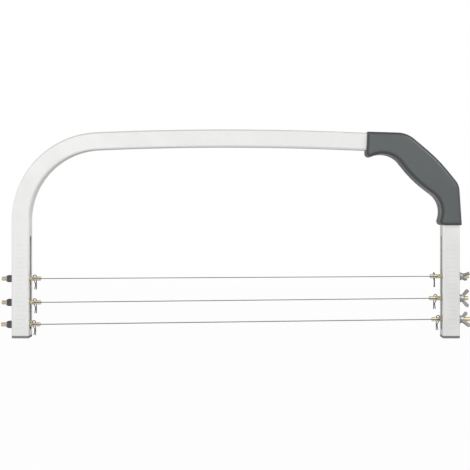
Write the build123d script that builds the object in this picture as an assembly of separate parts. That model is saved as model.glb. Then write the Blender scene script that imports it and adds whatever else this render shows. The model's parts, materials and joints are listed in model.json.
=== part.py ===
from build123d import *
import math
import os

# A cake leveler: a bow of bent rectangular tube with a moulded grip across one upper corner.
# Three serrated blades are stretched between its slotted legs on threaded pins.
# Millimetres. X runs along the blades, -Y is the graduated front, Z is up from the table.

# Bow
frame_width = 516.4
frame_height = 240.6
tube_width = 20.0
tube_depth = 15.0
tube_wall = 1.5
tube_corner_radius = 2.0
inner_corner_share = 0.25
left_bend_radius = 92.0
arch_slope = 2.45
arch_run_share = 0.98
crown_offset = -12.0

# Corner that the grip cuts across, on the centre line of the tube
corner_cut = 60.0
grip_bend_radius = 59.4
mouth_run_top = 37.6
mouth_run_leg = 34.9

# Slots and graduations in the legs
slot_bottom = 9.2
slot_top = 117.9
slot_clearance = 0.15
first_mark_height = 12.0
mark_pitch = 5.0
mark_count = 20
long_mark_length = 10.5
short_mark_length = 6.5
mark_width = 0.45
mark_depth = 0.2

# End plugs
plug_flange = 3.0
plug_insert_depth = 5.5
plug_wall = 1.6
plug_clearance = 0.05
plug_edge_radius = 0.8

# Grip, with its covers and dips measured from the face of the tube
grip_depth = 27.0
top_mouth_cover = 1.1
leg_mouth_cover = 1.4
top_lip_cover = 10.4
leg_lip_cover = 4.9
top_knuckle_cover = 1.7
leg_knuckle_dip = 1.7
top_finger_dip = 3.4
leg_finger_dip = 1.4
top_knuckle_radius = 31.0
leg_knuckle_radius = 19.9
top_finger_radius = 27.2
leg_finger_radius = 25.5
lip_radius = 4.6

# Swells of the grip, measured from the centre line of the tube
back_reach = 14.1
palm_swell = 4.0
palm_share = 0.56
belly_reach = 12.4
finger_swell = 6.3
swell_run_share = 0.45
channel_clearance = 0.2
grip_edge_radius = 4.5

# Grip screws and inserts
screw_diameter = 4.0
screw_clearance = 0.15
screw_head_diameter = 7.5
screw_head_height = 2.6
screw_head_edge = 0.6
counterbore_depth = 4.0
counterbore_clearance = 0.35
screw_inset = 14.0
socket_width = 2.5
socket_depth = 1.6
insert_wall = 1.0
insert_length = 3.8
insert_end_play = 0.1
insert_fit = 0.02
insert_bore_clearance = 0.05

# Pins
pin_diameter = 5.0
pin_length = 45.0
collar_length = 3.7
neck_length = 3.0
neck_diameter = 4.4
cross_hole_diameter = 1.2
fork_width = 1.0
fork_depth = 9.4
pin_edge = 0.4
left_pin_heights = (15.2, 40.7, 68.3)
right_pin_heights = (21.1, 45.5, 71.0)
left_pin_overhangs = (14.0, 13.1, 13.1)
right_pin_overhangs = (14.0, 11.0, 12.0)

# Blades
blade_width = 4.6
blade_thickness = 0.7
blade_end = 3.6
tooth_pitch = 3.0
tooth_depth = 1.0
plain_end = 9.0

# Clips
wire_diameter = 1.0
clip_reach = 6.0
clip_crown = 3.9
clip_shoulder = -1.0
clip_pinch = -6.3
clip_tail = -12.7
clip_flare = 3.2
clip_gap = 0.3
crown_radius = 1.7
pinch_radius = 2.5

# Washers, nuts and wing nuts
seat_clearance = 0.1
thread_clearance = 0.05
left_washer_diameter = 9.0
right_washer_diameter = 10.0
washer_thickness = 1.0
nut_across_flats = 8.0
nut_height = 5.0
nut_chamfer = 0.5
nut_collar_diameter = 7.6
nut_collar_wall = 0.4
nut_collar_height = 0.7
ring_height = 2.6
ring_seat_depth = 0.6
ring_edge_radius = 0.6
ring_clearance = 0.03
wing_span = 20.6
wing_height = 10.9
wing_root_width = 2.8
wing_tip_width = 4.2
wing_thickness = 2.4
wing_root_height = 2.4
hub_base_diameter = 9.6
hub_top_diameter = 7.4
hub_height = 4.5
wing_edge_radius = 0.5

# One overrun serves all cuts
overrun = 1.0

# Angles of the turned pieces, bottom to top, in degrees
wing_turns = (45.0, 90.0, -28.0)
left_clip_turns = (52.0, 52.0, 52.0)
right_clip_turns = (52.0, 52.0, 0.0)
level_names = ("bottom", "middle", "top")

# Sizes that follow from the ones above
leg_x = frame_width / 2 - tube_width / 2
leg_outer = frame_width / 2
slope = math.tan(math.radians(arch_slope))
left_bend_run = left_bend_radius * math.tan(math.radians((90 - arch_slope) / 2))
grip_bend_run = grip_bend_radius * math.tan(math.radians((45 - arch_slope) / 2))
left_room = leg_x + crown_offset - left_bend_run
right_room = leg_x - crown_offset - corner_cut - grip_bend_run
arch_radius = arch_run_share * min(left_room, right_room) / slope
crown_height = frame_height - tube_width / 2
peak = Vector(crown_offset, crown_height + arch_radius * (1 / math.cos(math.radians(arch_slope)) - 1))
left_corner = Vector(-leg_x, peak.Y - (peak.X + leg_x) * slope)
top_corner = Vector(leg_x - corner_cut, peak.Y - (leg_x - corner_cut - peak.X) * slope)
side_corner = Vector(leg_x, top_corner.Y - corner_cut)
slot_width = pin_diameter + 2 * slot_clearance
hole_run = pin_length - collar_length - neck_length / 2
left_tips = [leg_outer + overhang for overhang in left_pin_overhangs]
right_tips = [leg_outer + overhang for overhang in right_pin_overhangs]
top_way = (top_corner - peak).normalized()
cut_way = (side_corner - top_corner).normalized()
leg_way = Vector(0, -1)
top_mouth = top_corner - top_way * mouth_run_top
leg_mouth = side_corner + leg_way * mouth_run_leg


def standing(shape):
    """Turns a shape drawn flat, with its height along Y, upright into the plane of the bow."""
    return Rot(90, 0, 0) * shape


def outward(way):
    """Gives the direction at right angles to a run of the tube, away from the blades."""
    return Vector(-way.Y, way.X)


def crossing(start, way, other_start, other_way):
    """Gives the point where two straight lines of the bow's plane meet."""
    gap = other_start - start
    turn = way.X * other_way.Y - way.Y * other_way.X
    return start + way * ((gap.X * other_way.Y - gap.Y * other_way.X) / turn)


def bow_bar(width, depth, corner_radius):
    """Sweeps a rounded bar of one section along the centre line of the whole bow."""
    foot = plug_flange
    corners = [Vector(-leg_x, foot), left_corner, peak, top_corner, side_corner, Vector(leg_x, foot)]
    bends = [left_bend_radius, arch_radius, grip_bend_radius, grip_bend_radius]
    path = FilletPolyline(*corners, radius=bends)
    start = Plane(origin=path @ 0, x_dir=(1, 0, 0), z_dir=path % 0)
    return standing(sweep(start * RectangleRounded(width, depth, corner_radius), path=path))


def round_bar(diameter, start_x, end_x):
    """Makes a round bar along X between two places."""
    bar = Cylinder(diameter / 2, abs(end_x - start_x), rotation=(0, 90, 0))
    return Pos((start_x + end_x) / 2, 0, 0) * bar


def fastening_points():
    """Lists the three places on the tube's centre line where the grip is screwed on."""
    middle = (top_corner + side_corner) * 0.5
    return [leg_mouth - leg_way * screw_inset, middle, top_mouth + top_way * screw_inset]


def across(point, diameter, front_y, back_y):
    """Makes a round bar along Y at a point of the bow's plane."""
    bar = Cylinder(diameter / 2, back_y - front_y, rotation=(90, 0, 0))
    return Pos(point.X, (front_y + back_y) / 2, point.Y) * bar


def bow_frame():
    """Makes the bent tube with its slots, graduations and screw holes."""
    bore_width = tube_width - 2 * tube_wall
    bore_depth = tube_depth - 2 * tube_wall
    tube = bow_bar(tube_width, tube_depth, tube_corner_radius)
    tube -= bow_bar(bore_width, bore_depth, tube_corner_radius * inner_corner_share)
    slot_face = SlotOverall(slot_top - slot_bottom, slot_width, rotation=90)
    slot = extrude(Plane.YZ * slot_face, amount=tube_width / 2 + overrun, both=True)
    for side in (-1, 1):
        tube -= Pos(side * leg_x, 0, (slot_bottom + slot_top) / 2) * slot
        for step in range(mark_count):
            length = short_mark_length if step % 2 else long_mark_length
            mark = Box(length, 2 * mark_depth, mark_width)
            tube -= Pos(side * leg_x, -tube_depth / 2, first_mark_height + step * mark_pitch) * mark
    for point in fastening_points():
        hole_width = screw_diameter + 2 * screw_clearance
        tube -= across(point, hole_width, -tube_depth / 2 - overrun, tube_depth / 2 + overrun)
    return tube


def end_plug(side):
    """Makes the plug in the foot of one leg, open at its top."""
    flange = extrude(RectangleRounded(tube_width, tube_depth, tube_corner_radius), plug_flange)
    flange = fillet(flange.edges().group_by(Axis.Z)[0], plug_edge_radius)
    width = tube_width - 2 * tube_wall - 2 * plug_clearance
    depth = tube_depth - 2 * tube_wall - 2 * plug_clearance
    corner = tube_corner_radius * inner_corner_share
    insert = Pos(0, 0, plug_flange) * extrude(RectangleRounded(width, depth, corner), plug_insert_depth)
    well_height = plug_insert_depth + overrun
    well = Box(width - 2 * plug_wall, depth - 2 * plug_wall, well_height)
    plug = flange + insert - Pos(0, 0, plug_flange + well_height / 2) * well
    return Pos(side * leg_x, 0, 0) * plug


def easing_radius(before, corner, after):
    """Gives the radius that rounds a shallow corner over its share of the shorter side."""
    way_back = before - corner
    way_on = after - corner
    half_angle = math.radians(way_back.get_angle(way_on) / 2)
    return swell_run_share * min(way_back.length, way_on.length) * math.tan(half_angle)


def grip_outline():
    """Draws the grip as seen from the front, from offsets off the tube inside it."""
    half = tube_width / 2
    top_out = outward(top_way)
    cut_out = outward(cut_way)
    leg_out = outward(leg_way)
    outer_top = top_mouth + top_out * (half + top_mouth_cover)
    outer_leg = leg_mouth + leg_out * (half + leg_mouth_cover)
    lip_top = top_mouth - top_out * (half + top_lip_cover)
    lip_leg = leg_mouth - leg_out * (half + leg_lip_cover)
    outer_cut = top_corner + cut_out * back_reach
    inner_cut = top_corner - cut_out * belly_reach
    top_ridge = top_corner + top_out * (half + top_knuckle_cover)
    leg_ridge = side_corner + leg_out * (half - leg_knuckle_dip)
    top_valley = top_corner - top_out * (half - top_finger_dip)
    leg_valley = side_corner - leg_out * (half - leg_finger_dip)
    knuckle_top = crossing(top_ridge, top_way, outer_cut, cut_way)
    knuckle_leg = crossing(leg_ridge, leg_way, outer_cut, cut_way)
    finger_top = crossing(top_valley, top_way, inner_cut, cut_way)
    finger_leg = crossing(leg_valley, leg_way, inner_cut, cut_way)
    back = knuckle_top + (knuckle_leg - knuckle_top) * palm_share + cut_out * palm_swell
    belly = (finger_top + finger_leg) * 0.5 - cut_out * finger_swell
    corners = [
        (outer_top, 0), (knuckle_top, top_knuckle_radius),
        (back, easing_radius(knuckle_top, back, knuckle_leg)),
        (knuckle_leg, leg_knuckle_radius), (outer_leg, 0),
        (lip_leg, lip_radius), (finger_leg, leg_finger_radius),
        (belly, easing_radius(finger_leg, belly, finger_top)),
        (finger_top, top_finger_radius), (lip_top, lip_radius),
    ]
    points = [corner for corner, radius in corners]
    return FilletPolyline(*points, radius=[radius for corner, radius in corners], close=True)


def grip_body():
    """Makes the whole grip with rounded rims and the channel for the tube."""
    block = extrude(make_face(grip_outline()), amount=grip_depth / 2, both=True)
    faces = block.faces().sort_by(Axis.Z)
    rims = faces[0].edges() + faces[-1].edges()
    block = standing(fillet(rims, grip_edge_radius))
    width = tube_width + 2 * channel_clearance
    depth = tube_depth + 2 * channel_clearance
    return block - bow_bar(width, depth, tube_corner_radius)


def grip_shells(body):
    """Splits the grip into its front and back shells, bored for the screws and inserts."""
    front = split(body, Plane.XZ, keep=Keep.TOP)
    back = split(body, Plane.XZ, keep=Keep.BOTTOM)
    if front.center().Y > back.center().Y:
        front, back = back, front
    channel_face = tube_depth / 2 + channel_clearance
    insert_width = screw_diameter + 2 * insert_bore_clearance + 2 * insert_wall
    socket_end = channel_face + insert_length + insert_end_play
    for point in fastening_points():
        front -= across(point, insert_width + 2 * insert_fit, -socket_end, 0)
        back -= across(point, screw_diameter + 2 * screw_clearance, 0, grip_depth / 2 + overrun)
        bore_width = screw_head_diameter + 2 * counterbore_clearance
        back -= across(point, bore_width, grip_depth / 2 - counterbore_depth, grip_depth / 2 + overrun)
    return front, back


def grip_screw(point):
    """Makes a socket-head screw that is driven from the back of the grip."""
    seat = grip_depth / 2 - counterbore_depth
    head = across(point, screw_head_diameter, seat, seat + screw_head_height)
    head = fillet(head.edges().group_by(Axis.Y)[-1], screw_head_edge)
    socket_face = RegularPolygon(socket_width / 2, 6, major_radius=False)
    socket = extrude(Plane.XZ * socket_face, amount=socket_depth + overrun, both=True)
    head -= Pos(point.X, seat + screw_head_height + overrun, point.Y) * socket
    tip = tube_depth / 2 + channel_clearance + insert_length
    return head + across(point, screw_diameter, -tip, seat)


def grip_insert(point):
    """Makes the threaded insert that a grip screw ends in."""
    mouth = tube_depth / 2 + channel_clearance
    bore_width = screw_diameter + 2 * insert_bore_clearance
    sleeve = across(point, bore_width + 2 * insert_wall, -mouth - insert_length, -mouth)
    return sleeve - across(point, bore_width, -mouth - insert_length - overrun, -mouth + overrun)


def pin(side, outer_tip, height):
    """Makes a threaded pin with a collar, a neck with a cross hole, and a fork for the blade."""
    tip = outer_tip - pin_length
    hole = outer_tip - hole_run
    neck_start = tip + collar_length
    neck_end = neck_start + neck_length
    bar = round_bar(pin_diameter, tip, outer_tip)
    bar = chamfer(bar.edges().filter_by(GeomType.CIRCLE), pin_edge)
    groove = round_bar(pin_diameter + 2 * overrun, neck_start, neck_end)
    bar -= groove - round_bar(neck_diameter, neck_start - overrun, neck_end + overrun)
    fork_length = fork_depth + overrun
    bar -= Pos(tip - overrun + fork_length / 2, 0, 0) * Box(fork_length, pin_diameter + overrun, fork_width)
    bar -= Pos(hole, 0, 0) * Cylinder(cross_hole_diameter / 2, pin_diameter + overrun)
    if side < 0:
        bar = mirror(bar, Plane.YZ)
    return Pos(0, 0, height) * bar


def blade(left_hole, left_height, right_hole, right_height):
    """Makes a serrated strip that runs from one pin's cross hole to the other's."""
    rise = right_height - left_height
    span = math.hypot(left_hole + right_hole, rise)
    half_length = span / 2 + blade_end
    toothed = span / 2 - plain_end
    teeth = int(2 * toothed / tooth_pitch)
    front = -blade_width / 2
    first = -teeth * tooth_pitch / 2
    outline = [(-half_length, front + tooth_depth)]
    for tooth in range(teeth):
        start = first + tooth * tooth_pitch
        outline.append((start, front + tooth_depth))
        outline.append((start + tooth_pitch / 2, front))
    outline.append((-first, front + tooth_depth))
    outline.append((half_length, front + tooth_depth))
    outline.append((half_length, blade_width / 2))
    outline.append((-half_length, blade_width / 2))
    strip = extrude(make_face(Polyline(*outline, close=True)), amount=blade_thickness / 2, both=True)
    for side in (-1, 1):
        hole = Cylinder(cross_hole_diameter / 2, blade_thickness + overrun)
        strip -= Pos(side * span / 2, 0, 0) * hole
    slant = math.degrees(math.atan2(rise, left_hole + right_hole))
    middle = Pos((right_hole - left_hole) / 2, 0, (left_height + right_height) / 2)
    return middle * (Rot(0, -slant, 0) * strip)


def clip(side, hole, height, turn):
    """Makes a spring clip: a straight leg through the cross hole and a bowed leg behind the pin."""
    pinch = wire_diameter + clip_gap
    corners = [
        (0, clip_tail), (0, clip_crown), (clip_reach, clip_crown), (clip_reach, clip_shoulder),
        (pinch, clip_pinch), (clip_flare, clip_tail),
    ]
    bends = [crown_radius, crown_radius, pinch_radius, pinch_radius]
    path = FilletPolyline(*corners, radius=bends)
    start = Plane(origin=path @ 0, x_dir=(1, 0, 0), z_dir=path % 0)
    wire = standing(sweep(start * Circle(wire_diameter / 2), path=path))
    return Pos(side * hole, 0, height) * (Rot(0, 0, 90 - side * turn) * wire)


def washer(side, height, diameter):
    """Makes a flat washer that lies against a leg's outer face."""
    near = leg_outer + seat_clearance
    disc = round_bar(diameter, near, near + washer_thickness)
    bore = pin_diameter + 2 * thread_clearance
    disc -= round_bar(bore, near - overrun, near + washer_thickness + overrun)
    return Pos(0, 0, height) * (disc if side > 0 else mirror(disc, Plane.YZ))


def lock_nut(height):
    """Makes the hex nut on the left, with the thin collar that holds its ring."""
    near = leg_outer + seat_clearance + washer_thickness
    far = near + nut_height
    hexagon = extrude(Plane.YZ * RegularPolygon(nut_across_flats / 2, 6, major_radius=False), nut_height)
    crest = nut_across_flats / math.cos(math.radians(30)) - 2 * nut_chamfer
    facing = Cone(crest / 2 + nut_height, crest / 2, nut_height, rotation=(0, 90, 0))
    nut = Pos(near, 0, 0) * (hexagon & Pos(nut_height / 2, 0, 0) * facing)
    nut += round_bar(nut_collar_diameter, far - ring_seat_depth, far + nut_collar_height)
    inner = nut_collar_diameter - 2 * nut_collar_wall
    nut -= round_bar(inner, far - ring_seat_depth, far + nut_collar_height + overrun)
    nut -= round_bar(pin_diameter + 2 * thread_clearance, near - overrun, far + overrun)
    return Pos(0, 0, height) * mirror(nut, Plane.YZ)


def lock_ring(height):
    """Makes the ring of the lock nut, domed at its outer rim."""
    seat = leg_outer + seat_clearance + washer_thickness + nut_height - ring_seat_depth
    width = nut_collar_diameter - 2 * nut_collar_wall - 2 * ring_clearance
    ring = round_bar(width, seat, seat + ring_height)
    ring = fillet(ring.edges().sort_by(Axis.X)[-1], ring_edge_radius)
    bore = pin_diameter + 2 * thread_clearance
    ring -= round_bar(bore, seat - overrun, seat + ring_height + overrun)
    return Pos(0, 0, height) * mirror(ring, Plane.YZ)


def wing_nut(height, turn):
    """Makes a wing nut: a tapered hub with two straight wings in a wide V."""
    near = leg_outer + seat_clearance + washer_thickness
    hub = Cone(hub_base_diameter / 2, hub_top_diameter / 2, hub_height, rotation=(0, 90, 0))
    nut = Pos(hub_height / 2, 0, 0) * hub
    root_radius = wing_root_width / 2
    tip_radius = wing_tip_width / 2
    root = Pos(wing_root_height, root_radius) * Circle(root_radius)
    tip = Pos(wing_height - tip_radius, wing_span / 2 - tip_radius) * Circle(tip_radius)
    wing = extrude(make_hull(root.edges() + tip.edges()), amount=wing_thickness / 2, both=True)
    wing = fillet(wing.edges().filter_by(Plane.XY), wing_edge_radius)
    nut += wing
    nut += mirror(wing, Plane.XZ)
    nut -= Box(hub_base_diameter, wing_span, wing_span, align=(Align.MAX, Align.CENTER, Align.CENTER))
    nut -= round_bar(pin_diameter + 2 * thread_clearance, -overrun, wing_height + overrun)
    return Pos(near, 0, height) * (Rot(turn, 0, 0) * nut)


os.makedirs("parts", exist_ok=True)
front_shell, back_shell = grip_shells(grip_body())
pieces = {
    "bow_frame": bow_frame(),
    "left_end_plug": end_plug(-1),
    "right_end_plug": end_plug(1),
    "handle_front_shell": front_shell,
    "handle_back_shell": back_shell,
}
for name, point in zip(level_names, fastening_points()):
    pieces[name + "_handle_screw"] = grip_screw(point)
    pieces[name + "_handle_insert"] = grip_insert(point)
for level, name in enumerate(level_names):
    left_height = left_pin_heights[level]
    right_height = right_pin_heights[level]
    left_hole = left_tips[level] - hole_run
    right_hole = right_tips[level] - hole_run
    pieces[name + "_blade"] = blade(left_hole, left_height, right_hole, right_height)
    pieces[name + "_left_pin"] = pin(-1, left_tips[level], left_height)
    pieces[name + "_right_pin"] = pin(1, right_tips[level], right_height)
    pieces[name + "_left_clip"] = clip(-1, left_hole, left_height, left_clip_turns[level])
    pieces[name + "_right_clip"] = clip(1, right_hole, right_height, right_clip_turns[level])
    pieces[name + "_left_washer"] = washer(-1, left_height, left_washer_diameter)
    pieces[name + "_right_washer"] = washer(1, right_height, right_washer_diameter)
    pieces[name + "_lock_nut"] = lock_nut(left_height)
    pieces[name + "_lock_ring"] = lock_ring(left_height)
    pieces[name + "_wing_nut"] = wing_nut(right_height, wing_turns[level])
for node, solid in pieces.items():
    export_step(solid, "parts/" + node + ".step")
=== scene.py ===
"""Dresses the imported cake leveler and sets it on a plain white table.

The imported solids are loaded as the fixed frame. Each sub-assembly of the tool is a class that
models its pieces in millimetres, in their place, and hands them over in metres with their finish.
X runs along the blades, -Y is the graduated front and Z is up.
"""

import json
import logging
import math
from collections.abc import Callable, Iterator, Sequence
from contextlib import contextmanager
from dataclasses import dataclass, field
from enum import Enum

import bmesh
import bpy
from mathutils import Matrix, Vector


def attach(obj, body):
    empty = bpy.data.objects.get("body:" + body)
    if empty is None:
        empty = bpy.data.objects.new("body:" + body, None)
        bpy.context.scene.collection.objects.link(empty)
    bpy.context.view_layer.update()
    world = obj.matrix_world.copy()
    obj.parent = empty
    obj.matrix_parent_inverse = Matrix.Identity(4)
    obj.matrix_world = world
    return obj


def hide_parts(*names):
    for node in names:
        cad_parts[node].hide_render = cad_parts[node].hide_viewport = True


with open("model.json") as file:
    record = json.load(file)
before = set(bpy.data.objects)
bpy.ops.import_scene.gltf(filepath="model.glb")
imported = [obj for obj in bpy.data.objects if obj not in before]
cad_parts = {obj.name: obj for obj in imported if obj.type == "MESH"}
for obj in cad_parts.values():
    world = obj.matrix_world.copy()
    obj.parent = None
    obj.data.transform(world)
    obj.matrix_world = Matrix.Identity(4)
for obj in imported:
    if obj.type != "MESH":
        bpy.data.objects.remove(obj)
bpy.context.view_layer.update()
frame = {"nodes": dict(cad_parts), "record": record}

Colour = tuple[float, float, float]
Point = tuple[float, float, float]
Profile = Sequence[tuple[float, float]]
Piece = bpy.types.Object
Socket = bpy.types.NodeSocket
Tree = bpy.types.NodeTree

MM = 0.001
LEVELS = ("bottom", "middle", "top")
WELD = 0.0005  # corners nearer than this are one, in millimetres
NEAR = 0.01  # how near to a face a corner counts as on it, in millimetres
ROUND_SIDES = 32
FINE_SIDES = 48
HEX_SIDES = 6
HEX_SHARE = math.cos(math.radians(30.0))  # a hexagon's width over flats, of that over corners
FULL_ROUND = 0.999  # the share of half a width that rounds an end fully
FEWEST_STEPS = 3
LONGEST_STEP = 14.0  # of a bend, in millimetres
BULGE = 0.3  # where the middle of a rolled edge lies, as a share of the edge
log = logging.getLogger("cake_leveler")


class Texture(Enum):
    """The kinds of fine surface that the pieces of this tool have."""

    MOULDED = "Moulded grain"
    SATIN = "Satin metal"
    DRAWN = "Drawn metal"
    CAST = "Cast skin"


class Graph:
    """Builds the nodes of one shader tree with short calls."""

    def __init__(self, tree: Tree) -> None:
        """Keeps the tree that the nodes go into."""
        self.tree = tree

    @classmethod
    def cleared(cls, holder: bpy.types.ID) -> "Graph":
        """Opens the empty graph of a material or a world.

        Args:
            holder: The material or world.

        Returns:
            Its graph, without nodes.
        """
        holder.use_nodes = True
        holder.node_tree.nodes.clear()
        return cls(holder.node_tree)

    def node(self, kind: str, inputs: dict | None = None, **settings: object) -> bpy.types.Node:
        """Adds a node, sets its properties and fills or links its inputs.

        Args:
            kind: The node type's identifier.
            inputs: What goes into the input sockets, by name or number: values or output sockets.
            **settings: Properties of the node.

        Returns:
            The new node.
        """
        made = self.tree.nodes.new(kind)
        for key, value in settings.items():
            setattr(made, key, value)
        for key, value in (inputs or {}).items():
            if isinstance(value, Socket):
                self.tree.links.new(value, made.inputs[key])
            else:
                made.inputs[key].default_value = value
        return made

    def maths(self, operation: str, *values: object, clamp: bool = False) -> Socket:
        """Adds a maths node.

        Args:
            operation: The operation's identifier.
            *values: Numbers or output sockets, in the order of the inputs.
            clamp: Whether the result is kept between 0 and 1.

        Returns:
            The node's output socket.
        """
        inputs = dict(enumerate(values))
        return self.node("ShaderNodeMath", inputs, operation=operation, use_clamp=clamp).outputs[0]

    def vector(self, operation: str, first: object, second: object = None,
               output: str = "Vector") -> Socket:
        """Adds a vector maths node.

        Args:
            operation: The operation's identifier.
            first: The first vector.
            second: The second vector, if there is one.
            output: The name of the output socket.

        Returns:
            The node's output socket.
        """
        inputs = {0: first} if second is None else {0: first, 1: second}
        return self.node("ShaderNodeVectorMath", inputs, operation=operation).outputs[output]

    def ramp(self, value: object, low: object, high: object, to_low: float = 0.0,
             to_high: float = 1.0) -> Socket:
        """Maps a range of values to another, smoothly and held at both ends.

        Args:
            value: The output socket to map.
            low: The value that becomes to_low.
            high: The value that becomes to_high.
            to_low: The result at and below low.
            to_high: The result at and above high.

        Returns:
            The output socket of the result.
        """
        inputs = {"Value": value, "From Min": low, "From Max": high,
                  "To Min": to_low, "To Max": to_high}
        made = self.node("ShaderNodeMapRange", inputs, interpolation_type="SMOOTHSTEP")
        return made.outputs["Result"]

    def blend(self, share: object, first: object, second: object) -> Socket:
        """Mixes two colours.

        Args:
            share: How much of the second colour, from 0 to 1.
            first: A colour or an output socket.
            second: A colour or an output socket.

        Returns:
            The output socket of the mixed colour.
        """
        first, second = (colour if isinstance(colour, Socket) else (*colour, 1.0)
                         for colour in (first, second))
        made = self.node("ShaderNodeMix", {0: share}, data_type="RGBA")
        for socket, colour in ((made.inputs[6], first), (made.inputs[7], second)):
            if isinstance(colour, Socket):
                self.tree.links.new(colour, socket)
            else:
                socket.default_value = colour
        return made.outputs[2]

    def place(self, scale: object, stretch: Point = (1.0, 1.0, 1.0)) -> Socket:
        """Gives the object coordinates, scaled to a pattern's size.

        Args:
            scale: Cells per metre, as a number or an output socket.
            stretch: How much finer the pattern is along each axis.

        Returns:
            The output socket of the scaled place.
        """
        place = self.node("ShaderNodeTexCoord").outputs["Object"]
        inputs = {0: self.vector("MULTIPLY", place, stretch), "Scale": scale}
        return self.node("ShaderNodeVectorMath", inputs, operation="SCALE").outputs[0]

    def noise(self, place: Socket, scale: float = 1.0, detail: float = 2.0,
              distortion: float = 0.0) -> Socket:
        """Adds a noise pattern.

        Args:
            place: The output socket of the scaled place.
            scale: How much finer the pattern is than the place's own scale.
            detail: How many layers of finer noise it has.
            distortion: How much it is swirled.

        Returns:
            The output socket of its value.
        """
        inputs = {"Vector": place, "Scale": scale, "Detail": detail, "Distortion": distortion}
        return self.node("ShaderNodeTexNoise", inputs).outputs["Fac"]


class EffectGroup(Graph):
    """A node group with named inputs and outputs, built once and placed in many materials."""

    def __init__(self, name: str, inputs: dict[str, float], outputs: tuple[str, ...]) -> None:
        """Makes the empty group with its sockets.

        Args:
            name: The group's name.
            inputs: The input sockets' names and usual values.
            outputs: The output sockets' names.
        """
        super().__init__(bpy.data.node_groups.new(name, "ShaderNodeTree"))
        interface = self.tree.interface
        for label, value in inputs.items():
            socket = interface.new_socket(label, in_out="INPUT", socket_type="NodeSocketFloat")
            socket.default_value = value
        for label in outputs:
            interface.new_socket(label, in_out="OUTPUT", socket_type="NodeSocketFloat")
        self.inputs = self.tree.nodes.new("NodeGroupInput").outputs
        self.ends = self.tree.nodes.new("NodeGroupOutput").inputs

    def close(self, **results: Socket) -> Tree:
        """Links the results to the output sockets.

        Args:
            **results: Output sockets inside the group, by the outputs' names in lower case.

        Returns:
            The finished node tree.
        """
        for label, socket in results.items():
            self.tree.links.new(socket, self.ends[label.capitalize()])
        return self.tree


class Effects:
    """The effects that several finishes share."""

    def __init__(self) -> None:
        """Builds every group once."""
        self.surface = {
            Texture.MOULDED: self._moulded(),
            Texture.SATIN: self._metal(Texture.SATIN, detail=3.0),
            Texture.DRAWN: self._metal(Texture.DRAWN, detail=2.0, along=0.03),
            Texture.CAST: self._metal(Texture.CAST, detail=5.0),
        }
        self.wear_and_highlight = self._edge_rubbing_and_highlight()
        self.handling = self._handling()
        self.side_light_mask = self._side_light_group()

    def _moulded(self) -> Tree:
        """Builds the pebbled grain of moulded plastic.

        Returns:
            The finished node tree.
        """
        group = EffectGroup(Texture.MOULDED.value, {"Scale": 1800.0}, ("Height", "Tone"))
        place = group.place(group.inputs["Scale"])
        cells = group.node("ShaderNodeTexVoronoi", {"Vector": place, "Scale": 1.0},
                           feature="SMOOTH_F1")
        cloud = group.noise(place, scale=0.35, detail=3.0)
        return group.close(height=group.maths("MULTIPLY", cells.outputs["Distance"], cloud),
                           tone=cloud)

    def _metal(self, texture: Texture, detail: float, along: float = 1.0) -> Tree:
        """Builds a metal skin from layered noise.

        Args:
            texture: The kind of skin, which names the group.
            detail: How many layers of finer noise.
            along: How fine the pattern is along X.

        Returns:
            The finished node tree.
        """
        group = EffectGroup(texture.value, {"Scale": 1500.0}, ("Height", "Tone"))
        place = group.place(group.inputs["Scale"], (along, 1.0, 1.0))
        return group.close(height=group.noise(place, detail=detail),
                           tone=group.noise(place, scale=0.11))

    def _edge_rubbing_and_highlight(self) -> Tree:
        """Builds a broken mask of the edges, where a rounded normal leaves the flat one: rubbed
        wear and a painted highlight where the edge colour is lighter.

        Returns:
            The finished node tree.
        """
        group = EffectGroup("Edge rubbing and painted highlight", {"Radius": 0.0006, "Breakup": 400.0}, ("Mask",))
        rounded_way = group.node("ShaderNodeBevel", {"Radius": group.inputs["Radius"]}, samples=4)
        flat_way = group.node("ShaderNodeNewGeometry").outputs["Normal"]
        dot = group.vector("DOT_PRODUCT", rounded_way.outputs[0], flat_way, output="Value")
        edge = group.ramp(dot, low=1.0, high=0.86)
        noise = group.noise(group.place(group.inputs["Breakup"]), detail=4.0)
        broken = group.ramp(noise, low=0.3, high=0.62, to_low=0.35)
        return group.close(mask=group.maths("MULTIPLY", edge, broken, clamp=True))

    def _handling(self) -> Tree:
        """Builds the faint cloudy film that hands and washing leave.

        Returns:
            The finished node tree.
        """
        group = EffectGroup("Handling film", {"Scale": 28.0}, ("Mask",))
        noise = group.noise(group.place(group.inputs["Scale"]), detail=5.0, distortion=0.6)
        return group.close(mask=group.ramp(noise, low=0.38, high=0.66))

    def _side_light_group(self) -> Tree:
        """Builds a mask of what is turned away from the front and back: rims, sides and flats,
        where painted light and shade by facing is laid.

        Returns:
            The finished node tree.
        """
        group = EffectGroup("Painted side light", {"Start": 0.96, "End": 0.62}, ("Mask",))
        way = group.node("ShaderNodeTexCoord").outputs["Normal"]
        across = group.node("ShaderNodeSeparateXYZ", {0: way}).outputs["Y"]
        facing = group.maths("ABSOLUTE", across)
        return group.close(mask=group.ramp(facing, group.inputs["Start"], group.inputs["End"]))


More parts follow.
